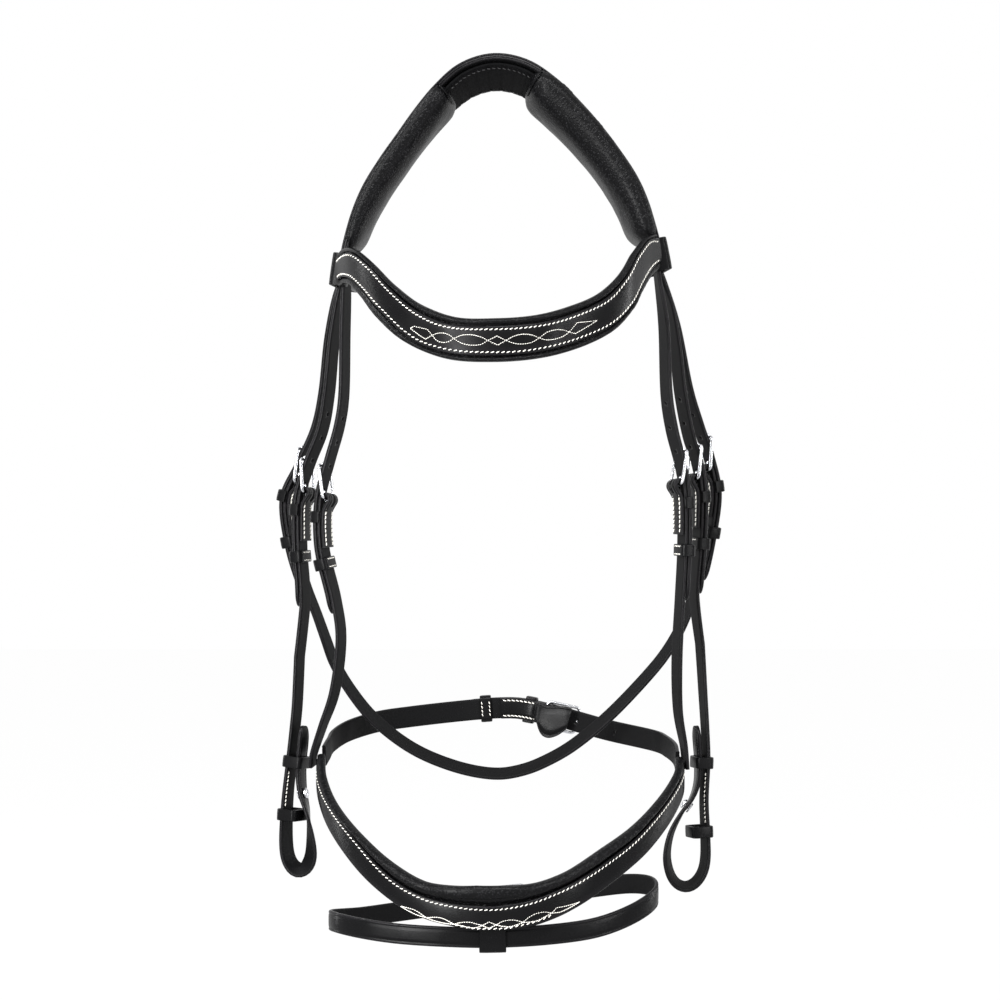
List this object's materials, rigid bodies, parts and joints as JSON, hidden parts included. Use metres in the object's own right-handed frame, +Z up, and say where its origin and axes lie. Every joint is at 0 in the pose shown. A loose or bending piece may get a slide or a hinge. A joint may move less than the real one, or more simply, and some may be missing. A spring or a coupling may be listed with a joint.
{
  "type": "horse bridle",
  "caption": "English snaffle bridle with padded headpiece, shaped browband, buckled cheekpieces, throatlatch and noseband with flash strap.",
  "frame": {"origin": "the poll seat: middle of the flat underside of the headpiece's lining, where it rests behind the horse's ears", "axes": "+Z up along the hanging bridle, -Y to the front as the horse faces, +X to the horse's near (left) side"},
  "size_m": [0.2903, 0.2142, 0.5593],
  "materials": {
    "crown_strap": "smooth black bridle leather",
    "crown_lining": "soft padded leather, fine grain",
    "off_head_pad": "soft padded leather, fine grain",
    "near_head_pad": "soft padded leather, fine grain",
    "browband_padding": "soft padded leather, fine grain",
    "browband_face": "smooth black bridle leather",
    "off_browband_loop": "smooth black bridle leather",
    "near_browband_loop": "smooth black bridle leather",
    "throatlatch": "smooth black bridle leather",
    "off_throat_billet": "smooth black bridle leather",
    "off_throat_fixed_keeper": "smooth black bridle leather",
    "near_throat_billet": "smooth black bridle leather",
    "near_throat_fixed_keeper": "smooth black bridle leather",
    "nosepiece_padding": "soft padded leather, fine grain",
    "nosepiece_face": "smooth black bridle leather",
    "jaw_strap": "smooth black bridle leather",
    "jaw_billet": "smooth black bridle leather",
    "jaw_tab": "smooth black bridle leather",
    "flash_loop": "smooth black bridle leather",
    "off_noseband_billet": "smooth black bridle leather",
    "off_noseband_strap": "smooth black bridle leather",
    "near_noseband_billet": "smooth black bridle leather",
    "near_noseband_strap": "smooth black bridle leather",
    "flash_strap": "smooth black bridle leather",
    "flash_keeper": "smooth black bridle leather",
    "off_cheek_billet": "smooth black bridle leather",
    "off_cheekpiece": "smooth black bridle leather",
    "off_cheek_fixed_keeper": "smooth black bridle leather",
    "off_hook_stud": "polished stainless steel",
    "off_bit_keeper": "smooth black bridle leather",
    "off_hook_keeper": "smooth black bridle leather",
    "near_cheek_billet": "smooth black bridle leather",
    "near_cheekpiece": "smooth black bridle leather",
    "near_cheek_fixed_keeper": "smooth black bridle leather",
    "near_hook_stud": "polished stainless steel",
    "near_bit_keeper": "smooth black bridle leather",
    "near_hook_keeper": "smooth black bridle leather",
    "off_cheek_buckle_frame": "polished stainless steel",
    "off_cheek_buckle_tongue": "polished stainless steel",
    "off_cheek_runner": "smooth black bridle leather",
    "off_throat_buckle_frame": "polished stainless steel",
    "off_throat_buckle_tongue": "polished stainless steel",
    "off_throat_runner": "smooth black bridle leather",
    "off_noseband_buckle_frame": "polished stainless steel",
    "off_noseband_buckle_tongue": "polished stainless steel",
    "off_noseband_runner": "smooth black bridle leather",
    "near_cheek_buckle_frame": "polished stainless steel",
    "near_cheek_buckle_tongue": "polished stainless steel",
    "near_cheek_runner": "smooth black bridle leather",
    "near_throat_buckle_frame": "polished stainless steel",
    "near_throat_buckle_tongue": "polished stainless steel",
    "near_throat_runner": "smooth black bridle leather",
    "near_noseband_buckle_frame": "polished stainless steel",
    "near_noseband_buckle_tongue": "polished stainless steel",
    "near_noseband_runner": "smooth black bridle leather",
    "jaw_buckle_frame": "polished stainless steel",
    "jaw_buckle_tongue": "polished stainless steel",
    "jaw_runner": "smooth black bridle leather",
    "flash_buckle_frame": "polished stainless steel",
    "flash_buckle_tongue": "polished stainless steel"
  },
  "bodies": {
    "headpiece": {"crown_strap": "crown_strap", "crown_lining": "crown_lining", "off_head_pad": "off_head_pad", "near_head_pad": "near_head_pad"},
    "browband": {"browband_padding": "browband_padding", "browband_face": "browband_face", "off_browband_loop": "off_browband_loop", "near_browband_loop": "near_browband_loop"},
    "throatlatch": {"throatlatch": "throatlatch", "off_throat_billet": "off_throat_billet", "off_throat_fixed_keeper": "off_throat_fixed_keeper", "near_throat_billet": "near_throat_billet", "near_throat_fixed_keeper": "near_throat_fixed_keeper"},
    "noseband": {"nosepiece_padding": "nosepiece_padding", "nosepiece_face": "nosepiece_face", "jaw_strap": "jaw_strap", "jaw_billet": "jaw_billet", "jaw_tab": "jaw_tab", "flash_loop": "flash_loop", "off_noseband_billet": "off_noseband_billet", "off_noseband_strap": "off_noseband_strap", "near_noseband_billet": "near_noseband_billet", "near_noseband_strap": "near_noseband_strap"},
    "flash": {"flash_strap": "flash_strap", "flash_keeper": "flash_keeper"},
    "off_cheek": {"off_cheek_billet": "off_cheek_billet", "off_cheekpiece": "off_cheekpiece", "off_cheek_fixed_keeper": "off_cheek_fixed_keeper", "off_hook_stud": "off_hook_stud", "off_bit_keeper": "off_bit_keeper", "off_hook_keeper": "off_hook_keeper"},
    "near_cheek": {"near_cheek_billet": "near_cheek_billet", "near_cheekpiece": "near_cheekpiece", "near_cheek_fixed_keeper": "near_cheek_fixed_keeper", "near_hook_stud": "near_hook_stud", "near_bit_keeper": "near_bit_keeper", "near_hook_keeper": "near_hook_keeper"},
    "off_cheek_buckle_frame": {"off_cheek_buckle_frame": "off_cheek_buckle_frame"},
    "off_cheek_buckle_tongue": {"off_cheek_buckle_tongue": "off_cheek_buckle_tongue"},
    "off_cheek_runner": {"off_cheek_runner": "off_cheek_runner"},
    "off_throat_buckle_frame": {"off_throat_buckle_frame": "off_throat_buckle_frame"},
    "off_throat_buckle_tongue": {"off_throat_buckle_tongue": "off_throat_buckle_tongue"},
    "off_throat_runner": {"off_throat_runner": "off_throat_runner"},
    "off_noseband_buckle_frame": {"off_noseband_buckle_frame": "off_noseband_buckle_frame"},
    "off_noseband_buckle_tongue": {"off_noseband_buckle_tongue": "off_noseband_buckle_tongue"},
    "off_noseband_runner": {"off_noseband_runner": "off_noseband_runner"},
    "near_cheek_buckle_frame": {"near_cheek_buckle_frame": "near_cheek_buckle_frame"},
    "near_cheek_buckle_tongue": {"near_cheek_buckle_tongue": "near_cheek_buckle_tongue"},
    "near_cheek_runner": {"near_cheek_runner": "near_cheek_runner"},
    "near_throat_buckle_frame": {"near_throat_buckle_frame": "near_throat_buckle_frame"},
    "near_throat_buckle_tongue": {"near_throat_buckle_tongue": "near_throat_buckle_tongue"},
    "near_throat_runner": {"near_throat_runner": "near_throat_runner"},
    "near_noseband_buckle_frame": {"near_noseband_buckle_frame": "near_noseband_buckle_frame"},
    "near_noseband_buckle_tongue": {"near_noseband_buckle_tongue": "near_noseband_buckle_tongue"},
    "near_noseband_runner": {"near_noseband_runner": "near_noseband_runner"},
    "jaw_buckle_frame": {"jaw_buckle_frame": "jaw_buckle_frame"},
    "jaw_buckle_tongue": {"jaw_buckle_tongue": "jaw_buckle_tongue"},
    "jaw_runner": {"jaw_runner": "jaw_runner"},
    "flash_buckle_frame": {"flash_buckle_frame": "flash_buckle_frame"},
    "flash_buckle_tongue": {"flash_buckle_tongue": "flash_buckle_tongue"}
  },
  "joints": [
    {"name": "browband_slide", "type": "slide", "parent": "headpiece", "child": "browband", "axis": [0, 0, 1], "range_m": [-0.0008, 0.0015]},
    {"name": "off_cheek_swing", "type": "hinge", "parent": "headpiece", "child": "off_cheek", "pos_m": [-0.09232, 0.00216, -0.12357], "axis": [1, 0, 0], "range_deg": [-2, 3]},
    {"name": "near_cheek_swing", "type": "hinge", "parent": "headpiece", "child": "near_cheek", "pos_m": [0.10045, 0.00216, -0.11333], "axis": [1, 0, 0], "range_deg": [-2, 3]},
    {"name": "throatlatch_swing", "type": "hinge", "parent": "headpiece", "child": "throatlatch", "pos_m": [0.10004, 0.01624, -0.11301], "axis": [0.9986, 0, 0.0527], "range_deg": [-3, 3]},
    {"name": "noseband_swing", "type": "hinge", "parent": "headpiece", "child": "noseband", "pos_m": [0.10275, -0.01192, -0.11315], "axis": [0.9986, 0, 0.0523], "range_deg": [-2, 0]},
    {"name": "flash_swing", "type": "hinge", "parent": "noseband", "child": "flash", "pos_m": [-0.00022, -0.09966, -0.53427], "axis": [1, 0, 0], "range_deg": [-3, 3]},
    {"name": "off_cheek_frame_turn", "type": "hinge", "parent": "off_cheek", "child": "off_cheek_buckle_frame", "pos_m": [-0.1164, 0.00003, -0.26404], "axis": [-0.3704, -0.9272, 0.0561], "range_deg": [0, 5]},
    {"name": "off_cheek_tongue_turn", "type": "hinge", "parent": "off_cheek_buckle_frame", "child": "off_cheek_buckle_tongue", "pos_m": [-0.1164, 0.00003, -0.26404], "axis": [-0.3704, -0.9272, 0.0561], "range_deg": [0, 3]},
    {"name": "off_cheek_runner_slide", "type": "slide", "parent": "off_cheek", "child": "off_cheek_runner", "axis": [0.0235, 0, -0.9997], "range_m": [-0.002, 0.002]},
    {"name": "off_throat_frame_turn", "type": "hinge", "parent": "throatlatch", "child": "off_throat_buckle_frame", "pos_m": [-0.12449, 0.02702, -0.25668], "axis": [-0.3775, -0.9233, 0.0702], "range_deg": [0, 5]},
    {"name": "off_throat_tongue_turn", "type": "hinge", "parent": "off_throat_buckle_frame", "child": "off_throat_buckle_tongue", "pos_m": [-0.12449, 0.02702, -0.25668], "axis": [-0.3775, -0.9233, 0.0702], "range_deg": [0, 3]},
    {"name": "off_throat_runner_slide", "type": "slide", "parent": "throatlatch", "child": "off_throat_runner", "axis": [0.1452, 0.0576, -0.9877], "range_m": [-0.002, 0.002]},
    {"name": "off_noseband_frame_turn", "type": "hinge", "parent": "noseband", "child": "off_noseband_buckle_frame", "pos_m": [-0.10152, -0.02428, -0.2683], "axis": [-0.3711, -0.9271, 0.0527], "range_deg": [0, 5]},
    {"name": "off_noseband_tongue_turn", "type": "hinge", "parent": "off_noseband_buckle_frame", "child": "off_noseband_buckle_tongue", "pos_m": [-0.10152, -0.02428, -0.2683], "axis": [-0.3711, -0.9271, 0.0527], "range_deg": [0, 3]},
    {"name": "off_noseband_runner_slide", "type": "slide", "parent": "noseband", "child": "off_noseband_runner", "axis": [0.1402, -0.003, -0.9901], "range_m": [-0.002, 0.002]},
    {"name": "near_cheek_frame_turn", "type": "hinge", "parent": "near_cheek", "child": "near_cheek_buckle_frame", "pos_m": [0.12538, 0.00003, -0.25522], "axis": [-0.3711, 0.9272, -0.0509], "range_deg": [0, 5]},
    {"name": "near_cheek_tongue_turn", "type": "hinge", "parent": "near_cheek_buckle_frame", "child": "near_cheek_buckle_tongue", "pos_m": [0.12538, 0.00003, -0.25522], "axis": [-0.3711, 0.9272, -0.0509], "range_deg": [0, 3]},
    {"name": "near_cheek_runner_slide", "type": "slide", "parent": "near_cheek", "child": "near_cheek_runner", "axis": [-0.0123, 0, -0.9999], "range_m": [-0.002, 0.002]},
    {"name": "near_throat_frame_turn", "type": "hinge", "parent": "throatlatch", "child": "near_throat_buckle_frame", "pos_m": [0.13665, 0.02679, -0.24864], "axis": [-0.3821, 0.9236, -0.0303], "range_deg": [0, 5]},
    {"name": "near_throat_tongue_turn", "type": "hinge", "parent": "near_throat_buckle_frame", "child": "near_throat_buckle_tongue", "pos_m": [0.13665, 0.02679, -0.24864], "axis": [-0.3821, 0.9236, -0.0303], "range_deg": [0, 3]},
    {"name": "near_throat_runner_slide", "type": "slide", "parent": "throatlatch", "child": "near_throat_runner", "axis": [-0.1114, 0.067, -0.9915], "range_m": [-0.002, 0.002]},
    {"name": "near_noseband_frame_turn", "type": "hinge", "parent": "noseband", "child": "near_noseband_buckle_frame", "pos_m": [0.11326, -0.02411, -0.25931], "axis": [-0.3682, 0.9269, -0.0732], "range_deg": [0, 5]},
    {"name": "near_noseband_tongue_turn", "type": "hinge", "parent": "near_noseband_buckle_frame", "child": "near_noseband_buckle_tongue", "pos_m": [0.11326, -0.02411, -0.25931], "axis": [-0.3682, 0.9269, -0.0732], "range_deg": [0, 3]},
    {"name": "near_noseband_runner_slide", "type": "slide", "parent": "noseband", "child": "near_noseband_runner", "axis": [-0.0046, 0.0103, -0.9999], "range_m": [-0.002, 0.002]},
    {"name": "jaw_frame_turn", "type": "hinge", "parent": "noseband", "child": "jaw_buckle_frame", "pos_m": [0.03481, 0.08724, -0.41127], "axis": [0.2115, -0.0589, 0.9756], "range_deg": [0, 5]},
    {"name": "jaw_tongue_turn", "type": "hinge", "parent": "jaw_buckle_frame", "child": "jaw_buckle_tongue", "pos_m": [0.03481, 0.08724, -0.41127], "axis": [0.2115, -0.0589, 0.9756], "range_deg": [0, 3]},
    {"name": "jaw_runner_slide", "type": "slide", "parent": "noseband", "child": "jaw_runner", "axis": [-0.9974, 0.0127, -0.0711], "range_m": [-0.002, 0.002]},
    {"name": "flash_frame_turn", "type": "hinge", "parent": "flash", "child": "flash_buckle_frame", "pos_m": [0.00036, -0.00926, -0.52319], "axis": [-0.0718, -0.0001, 0.9974], "range_deg": [0, 5]},
    {"name": "flash_tongue_turn", "type": "hinge", "parent": "flash_buckle_frame", "child": "flash_buckle_tongue", "pos_m": [0.00036, -0.00926, -0.52319], "axis": [-0.0718, -0.0001, 0.9974], "range_deg": [0, 3]}
  ]
}
